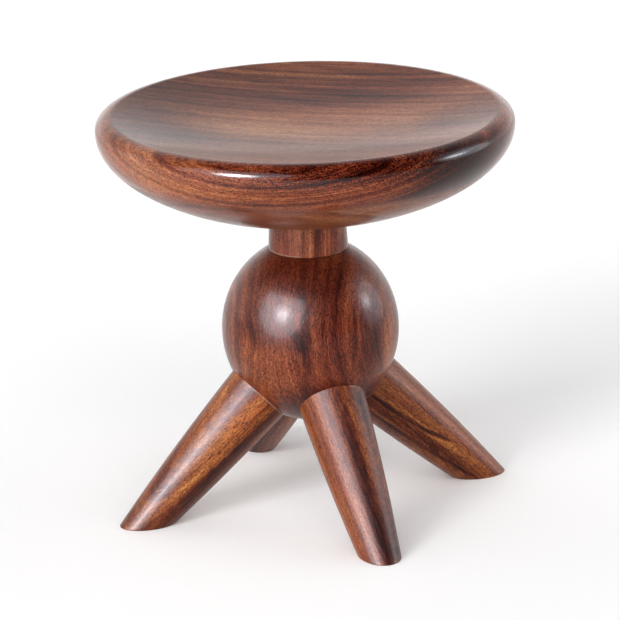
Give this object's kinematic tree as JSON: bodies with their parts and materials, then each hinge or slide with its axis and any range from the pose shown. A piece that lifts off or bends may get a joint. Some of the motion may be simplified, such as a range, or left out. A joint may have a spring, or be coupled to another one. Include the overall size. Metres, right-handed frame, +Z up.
{
  "type": "stool",
  "caption": "Round wooden stool with a thick dished seat on a short collar and a ball hub, carried by splayed tapered legs with wedged round tenons.",
  "frame": {"origin": "on the floor, under the centre of the round seat", "axes": "+Z up along the seat's turning axis; -Y is the front, and the legs stand at 45 degrees between the X and Y axes"},
  "size_m": [0.43, 0.43, 0.4221],
  "materials": {
    "seat_wood": "dark red-brown figured hardwood, satin lacquer",
    "hub_wood": "dark red-brown figured hardwood, satin lacquer, vertical grain",
    "leg_wood": "dark red-brown figured hardwood, satin lacquer, grain along the leg",
    "joinery_wood": "plain pale hardwood, unfinished"
  },
  "bodies": {
    "root": {"seat": "seat_wood", "collar": "hub_wood", "ball_hub": "hub_wood", "leg_front_left": "leg_wood", "leg_front_right": "leg_wood", "leg_back_right": "leg_wood", "leg_back_left": "leg_wood", "centre_dowel": "joinery_wood", "leg_wedge_front_left": "joinery_wood", "leg_wedge_front_right": "joinery_wood", "leg_wedge_back_right": "joinery_wood", "leg_wedge_back_left": "joinery_wood", "dowel_wedge_top": "joinery_wood", "dowel_wedge_bottom": "joinery_wood"}
  },
  "joints": []
}
